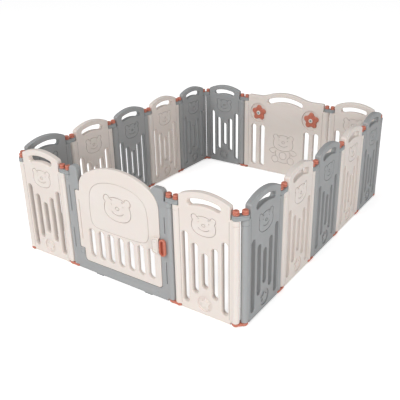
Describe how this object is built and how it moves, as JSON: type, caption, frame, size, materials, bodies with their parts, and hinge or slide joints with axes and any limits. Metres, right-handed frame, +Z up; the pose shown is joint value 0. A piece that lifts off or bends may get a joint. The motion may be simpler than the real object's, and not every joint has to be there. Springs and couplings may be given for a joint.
{
  "type": "folding playpen",
  "caption": "Folding playpen of hinged plastic panels with arched handles, a swing gate with a lift latch, and an activity panel with spinning flowers.",
  "frame": {"origin": "centre of the floor footprint, on the floor", "axes": "+Z up, +Y from the gate side to the activity side, +X to the right seen from outside the gate"},
  "size_m": [1.5922, 2.0188, 0.69],
  "materials": {
    "panel_white": "moulded polyethylene, satin",
    "panel_gray": "moulded polyethylene, satin",
    "bracket_gray": "moulded polypropylene, satin",
    "connector_orange": "moulded polypropylene, satin",
    "steel": "plated steel",
    "foot_rubber": "soft gray rubber"
  },
  "bodies": {
    "front_panel_left": {"front_panel_left": "panel_white"},
    "gate_left_link": {"gate_left_bracket": "bracket_gray", "gate_left_pins": "connector_orange"},
    "gate_frame": {"gate_frame": "panel_gray", "gate_hinge_pins": "steel", "sill_feet": "foot_rubber", "strike_plate": "panel_gray"},
    "gate_right_link": {"gate_right_bracket": "bracket_gray", "gate_right_pins": "connector_orange"},
    "front_panel_right": {"front_panel_right": "panel_white"},
    "front_right_link": {"front_right_bracket": "bracket_gray", "front_right_pins": "connector_orange"},
    "right_panel_1": {"right_panel_1": "panel_gray"},
    "right_link_1": {"right_link_1_bracket": "bracket_gray", "right_link_1_pins": "connector_orange"},
    "right_panel_2": {"right_panel_2": "panel_white"},
    "right_link_2": {"right_link_2_bracket": "bracket_gray", "right_link_2_pins": "connector_orange"},
    "right_panel_3": {"right_panel_3": "panel_gray"},
    "right_link_3": {"right_link_3_bracket": "bracket_gray", "right_link_3_pins": "connector_orange"},
    "right_panel_4": {"right_panel_4": "panel_white"},
    "right_link_4": {"right_link_4_bracket": "bracket_gray", "right_link_4_pins": "connector_orange"},
    "right_panel_5": {"right_panel_5": "panel_gray"},
    "back_right_link": {"back_right_bracket": "bracket_gray", "back_right_pins": "connector_orange"},
    "back_panel_right": {"back_panel_right": "panel_white"},
    "activity_right_link": {"activity_right_bracket": "bracket_gray", "activity_right_pins": "connector_orange"},
    "activity_panel": {"activity_panel": "panel_white", "flower_axle_right": "panel_white", "flower_axle_left": "panel_white"},
    "activity_left_link": {"activity_left_bracket": "bracket_gray", "activity_left_pins": "connector_orange"},
    "back_panel_left": {"back_panel_left": "panel_gray"},
    "back_left_link": {"back_left_bracket": "bracket_gray", "back_left_pins": "connector_orange"},
    "left_panel_5": {"left_panel_5": "panel_gray"},
    "left_link_4": {"left_link_4_bracket": "bracket_gray", "left_link_4_pins": "connector_orange"},
    "left_panel_4": {"left_panel_4": "panel_white"},
    "left_link_3": {"left_link_3_bracket": "bracket_gray", "left_link_3_pins": "connector_orange"},
    "left_panel_3": {"left_panel_3": "panel_gray"},
    "left_link_2": {"left_link_2_bracket": "bracket_gray", "left_link_2_pins": "connector_orange"},
    "left_panel_2": {"left_panel_2": "panel_white"},
    "left_link_1": {"left_link_1_bracket": "bracket_gray", "left_link_1_pins": "connector_orange"},
    "left_panel_1": {"left_panel_1": "panel_gray"},
    "front_left_link": {"front_left_bracket": "bracket_gray", "front_left_pins": "connector_orange"},
    "gate_door": {"gate_door": "panel_white", "latch_housing": "panel_white", "latch_spring": "steel", "latch_screws": "steel"},
    "latch_slider": {"latch_slider": "connector_orange"},
    "flower_right": {"flower_right": "connector_orange"},
    "flower_left": {"flower_left": "connector_orange"}
  },
  "joints": [
    {"name": "front_right_bend", "type": "hinge", "parent": "gate_frame", "child": "gate_right_link", "pos_m": [0.355, -0.97486, 0.59], "axis": [0, 0, 1], "range_deg": [-15, 0]},
    {"name": "front_right_bend_panel", "type": "hinge", "parent": "gate_right_link", "child": "front_panel_right", "pos_m": [0.399, -0.97486, 0.59], "axis": [0, 0, 1], "range_deg": [-15, 0]},
    {"name": "front_right_corner", "type": "hinge", "parent": "front_panel_right", "child": "front_right_link", "pos_m": [0.744, -0.97486, 0.59], "axis": [0, 0, 1], "range_deg": [-20, 0]},
    {"name": "front_right_corner_panel", "type": "hinge", "parent": "front_right_link", "child": "right_panel_1", "pos_m": [0.77511, -0.94375, 0.59], "axis": [0, 0, 1], "range_deg": [-20, 0]},
    {"name": "right_bend_1", "type": "hinge", "parent": "right_panel_1", "child": "right_link_1", "pos_m": [0.77511, -0.59875, 0.59], "axis": [0, 0, 1], "range_deg": [-10, 0]},
    {"name": "right_bend_1_panel", "type": "hinge", "parent": "right_link_1", "child": "right_panel_2", "pos_m": [0.77511, -0.55475, 0.59], "axis": [0, 0, 1], "range_deg": [-10, 0]},
    {"name": "right_bend_2", "type": "hinge", "parent": "right_panel_2", "child": "right_link_2", "pos_m": [0.77511, -0.20975, 0.59], "axis": [0, 0, 1], "range_deg": [-10, 0]},
    {"name": "right_bend_2_panel", "type": "hinge", "parent": "right_link_2", "child": "right_panel_3", "pos_m": [0.77511, -0.16575, 0.59], "axis": [0, 0, 1], "range_deg": [-10, 0]},
    {"name": "right_bend_3", "type": "hinge", "parent": "right_panel_3", "child": "right_link_3", "pos_m": [0.77511, 0.17925, 0.59], "axis": [0, 0, 1], "range_deg": [-10, 0]},
    {"name": "right_bend_3_panel", "type": "hinge", "parent": "right_link_3", "child": "right_panel_4", "pos_m": [0.77511, 0.22325, 0.59], "axis": [0, 0, 1], "range_deg": [-10, 0]},
    {"name": "right_bend_4", "type": "hinge", "parent": "right_panel_4", "child": "right_link_4", "pos_m": [0.77511, 0.56825, 0.59], "axis": [0, 0, 1], "range_deg": [-10, 0]},
    {"name": "right_bend_4_panel", "type": "hinge", "parent": "right_link_4", "child": "right_panel_5", "pos_m": [0.77511, 0.61225, 0.59], "axis": [0, 0, 1], "range_deg": [-10, 0]},
    {"name": "back_right_corner", "type": "hinge", "parent": "right_panel_5", "child": "back_right_link", "pos_m": [0.77511, 0.95725, 0.59], "axis": [0, 0, 1], "range_deg": [-45, 0]},
    {"name": "back_right_corner_panel", "type": "hinge", "parent": "back_right_link", "child": "back_panel_right", "pos_m": [0.744, 0.98836, 0.59], "axis": [0, 0, 1], "range_deg": [-45, 0]},
    {"name": "back_right_bend", "type": "hinge", "parent": "back_panel_right", "child": "activity_right_link", "pos_m": [0.399, 0.98836, 0.59], "axis": [0, 0, 1], "range_deg": [-40, 0]},
    {"name": "front_left_bend", "type": "hinge", "parent": "gate_frame", "child": "gate_left_link", "pos_m": [-0.355, -0.97486, 0.59], "axis": [0, 0, -1], "range_deg": [-15, 0]},
    {"name": "front_left_bend_panel", "type": "hinge", "parent": "gate_left_link", "child": "front_panel_left", "pos_m": [-0.399, -0.97486, 0.59], "axis": [0, 0, -1], "range_deg": [-15, 0]},
    {"name": "front_left_corner", "type": "hinge", "parent": "front_panel_left", "child": "front_left_link", "pos_m": [-0.744, -0.97486, 0.59], "axis": [0, 0, -1], "range_deg": [-20, 0]},
    {"name": "front_left_corner_panel", "type": "hinge", "parent": "front_left_link", "child": "left_panel_1", "pos_m": [-0.77511, -0.94375, 0.59], "axis": [0, 0, -1], "range_deg": [-20, 0]},
    {"name": "left_bend_1", "type": "hinge", "parent": "left_panel_1", "child": "left_link_1", "pos_m": [-0.77511, -0.59875, 0.59], "axis": [0, 0, -1], "range_deg": [-10, 0]},
    {"name": "left_bend_1_panel", "type": "hinge", "parent": "left_link_1", "child": "left_panel_2", "pos_m": [-0.77511, -0.55475, 0.59], "axis": [0, 0, -1], "range_deg": [-10, 0]},
    {"name": "left_bend_2", "type": "hinge", "parent": "left_panel_2", "child": "left_link_2", "pos_m": [-0.77511, -0.20975, 0.59], "axis": [0, 0, -1], "range_deg": [-10, 0]},
    {"name": "left_bend_2_panel", "type": "hinge", "parent": "left_link_2", "child": "left_panel_3", "pos_m": [-0.77511, -0.16575, 0.59], "axis": [0, 0, -1], "range_deg": [-10, 0]},
    {"name": "left_bend_3", "type": "hinge", "parent": "left_panel_3", "child": "left_link_3", "pos_m": [-0.77511, 0.17925, 0.59], "axis": [0, 0, -1], "range_deg": [-10, 0]},
    {"name": "left_bend_3_panel", "type": "hinge", "parent": "left_link_3", "child": "left_panel_4", "pos_m": [-0.77511, 0.22325, 0.59], "axis": [0, 0, -1], "range_deg": [-10, 0]},
    {"name": "left_bend_4", "type": "hinge", "parent": "left_panel_4", "child": "left_link_4", "pos_m": [-0.77511, 0.56825, 0.59], "axis": [0, 0, -1], "range_deg": [-10, 0]},
    {"name": "left_bend_4_panel", "type": "hinge", "parent": "left_link_4", "child": "left_panel_5", "pos_m": [-0.77511, 0.61225, 0.59], "axis": [0, 0, -1], "range_deg": [-10, 0]},
    {"name": "back_left_corner", "type": "hinge", "parent": "left_panel_5", "child": "back_left_link", "pos_m": [-0.77511, 0.95725, 0.59], "axis": [0, 0, -1], "range_deg": [-45, 0]},
    {"name": "back_left_corner_panel", "type": "hinge", "parent": "back_left_link", "child": "back_panel_left", "pos_m": [-0.744, 0.98836, 0.59], "axis": [0, 0, -1], "range_deg": [-45, 0]},
    {"name": "back_left_bend", "type": "hinge", "parent": "back_panel_left", "child": "activity_left_link", "pos_m": [-0.399, 0.98836, 0.59], "axis": [0, 0, -1], "range_deg": [-20, 0]},
    {"name": "back_left_bend_panel", "type": "hinge", "parent": "activity_left_link", "child": "activity_panel", "pos_m": [-0.355, 0.98836, 0.59], "axis": [0, 0, -1], "range_deg": [-20, 0]},
    {"name": "gate_swing", "type": "hinge", "parent": "gate_frame", "child": "gate_door", "pos_m": [-0.294, -0.98386, 0.512], "axis": [0, 0, -1], "range_deg": [0, 100]},
    {"name": "latch_lift", "type": "slide", "parent": "gate_door", "child": "latch_slider", "axis": [0, 0, 1], "range_m": [0, 0.012], "stiffness_N_per_m": 300, "springref_m": -0.01, "deforming": ["latch_spring"]},
    {"name": "flower_right_spin", "type": "hinge", "parent": "activity_panel", "child": "flower_right", "pos_m": [0.233, 0.97986, 0.505], "axis": [0, 1, 0], "continuous": true},
    {"name": "flower_left_spin", "type": "hinge", "parent": "activity_panel", "child": "flower_left", "pos_m": [-0.233, 0.97986, 0.505], "axis": [0, 1, 0], "continuous": true}
  ],
  "couplings": [
    {"joint": "front_right_bend_panel", "follows": "front_right_bend", "ratio": 1},
    {"joint": "right_bend_1_panel", "follows": "right_bend_1", "ratio": 1},
    {"joint": "right_bend_2_panel", "follows": "right_bend_2", "ratio": 1},
    {"joint": "right_bend_3_panel", "follows": "right_bend_3", "ratio": 1},
    {"joint": "right_bend_4_panel", "follows": "right_bend_4", "ratio": 1},
    {"joint": "front_left_bend_panel", "follows": "front_left_bend", "ratio": 1},
    {"joint": "left_bend_1_panel", "follows": "left_bend_1", "ratio": 1},
    {"joint": "left_bend_2_panel", "follows": "left_bend_2", "ratio": 1},
    {"joint": "left_bend_3_panel", "follows": "left_bend_3", "ratio": 1},
    {"joint": "left_bend_4_panel", "follows": "left_bend_4", "ratio": 1},
    {"joint": "back_left_bend_panel", "follows": "back_left_bend", "ratio": 1}
  ]
}
